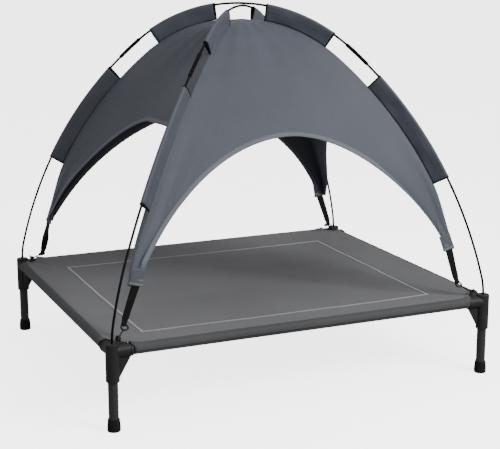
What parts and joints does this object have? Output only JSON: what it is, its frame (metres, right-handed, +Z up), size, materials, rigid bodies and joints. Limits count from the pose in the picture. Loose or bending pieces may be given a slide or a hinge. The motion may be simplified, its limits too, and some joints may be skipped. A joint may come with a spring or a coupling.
{
  "type": "dog bed with frame",
  "caption": "Raised dog bed with a stretched cloth platform on a tube frame and a pop-up shade canopy on two crossed bent poles.",
  "frame": {"origin": "centre of the footprint on the floor the feet stand on", "axes": "+X along the long side, +Y from the front to the back, +Z up"},
  "size_m": [1.22, 1.03, 1.1175],
  "materials": {
    "bracket_plastic": "fine moulded grain",
    "black_tube": "satin powder coat",
    "foot_rubber": "matt, finely grained",
    "bed_cloth": "plain woven polyester",
    "stripe_tape": "ribbed light grey tape",
    "pole_fibreglass": "smooth black fibreglass",
    "ferrule_metal": "dark anodised sleeve",
    "pole_tip_metal": "satin",
    "shock_cord_elastic": "braided",
    "canopy_cloth": "coated ripstop polyester, slight sheen",
    "elastic_webbing": "ribbed elastic webbing",
    "hook_plastic": "smooth moulded"
  },
  "bodies": {
    "bed_frame": {"corner_bracket_fl": "bracket_plastic", "corner_bracket_fr": "bracket_plastic", "corner_bracket_br": "bracket_plastic", "corner_bracket_bl": "bracket_plastic", "rail_front": "black_tube", "rail_back": "black_tube", "rail_left": "black_tube", "rail_right": "black_tube", "rail_sleeve_front": "bed_cloth", "rail_sleeve_back": "bed_cloth", "rail_sleeve_left": "bed_cloth", "rail_sleeve_right": "bed_cloth", "bed_sheet": "bed_cloth", "bed_stripe": "stripe_tape", "strap_hook_fl": "hook_plastic", "strap_hook_fr": "hook_plastic", "strap_hook_br": "hook_plastic", "strap_hook_bl": "hook_plastic"},
    "canopy": {"pole_section_fl": "pole_fibreglass", "pole_ferrule_fl": "ferrule_metal", "pole_tip_fl": "pole_tip_metal", "pole_sleeve_fl": "canopy_cloth", "tail_band_fl": "canopy_cloth", "elastic_strap_fl": "elastic_webbing", "pole_section_fr": "pole_fibreglass", "pole_ferrule_fr": "ferrule_metal", "pole_tip_fr": "pole_tip_metal", "pole_sleeve_fr": "canopy_cloth", "tail_band_fr": "canopy_cloth", "elastic_strap_fr": "elastic_webbing", "pole_section_br": "pole_fibreglass", "pole_ferrule_br": "ferrule_metal", "pole_tip_br": "pole_tip_metal", "pole_sleeve_br": "canopy_cloth", "tail_band_br": "canopy_cloth", "elastic_strap_br": "elastic_webbing", "pole_section_bl": "pole_fibreglass", "pole_ferrule_bl": "ferrule_metal", "pole_tip_bl": "pole_tip_metal", "pole_sleeve_bl": "canopy_cloth", "tail_band_bl": "canopy_cloth", "elastic_strap_bl": "elastic_webbing", "canopy_panel_front": "canopy_cloth", "canopy_panel_back": "canopy_cloth", "canopy_panel_left": "canopy_cloth", "canopy_panel_right": "canopy_cloth", "pole_long_middle": "pole_fibreglass", "shock_cord_long": "shock_cord_elastic", "pole_short_middle": "pole_fibreglass", "shock_cord_short": "shock_cord_elastic"},
    "leg_fl": {"leg_tube_fl": "black_tube", "foot_cap_fl": "foot_rubber"},
    "leg_fr": {"leg_tube_fr": "black_tube", "foot_cap_fr": "foot_rubber"},
    "leg_br": {"leg_tube_br": "black_tube", "foot_cap_br": "foot_rubber"},
    "leg_bl": {"leg_tube_bl": "black_tube", "foot_cap_bl": "foot_rubber"}
  },
  "joints": [
    {"name": "canopy_lift", "type": "slide", "parent": "bed_frame", "child": "canopy", "axis": [0, 0, 1], "range_m": [0, 0.045], "stiffness_N_per_m": 600, "deforming": ["elastic_strap_fl", "elastic_strap_fr", "elastic_strap_br", "elastic_strap_bl"]},
    {"name": "leg_fl_pull", "type": "slide", "parent": "bed_frame", "child": "leg_fl", "axis": [0, 0, -1], "range_m": [0, 0.055]},
    {"name": "leg_fr_pull", "type": "slide", "parent": "bed_frame", "child": "leg_fr", "axis": [0, 0, -1], "range_m": [0, 0.055]},
    {"name": "leg_br_pull", "type": "slide", "parent": "bed_frame", "child": "leg_br", "axis": [0, 0, -1], "range_m": [0, 0.055]},
    {"name": "leg_bl_pull", "type": "slide", "parent": "bed_frame", "child": "leg_bl", "axis": [0, 0, -1], "range_m": [0, 0.055]}
  ]
}
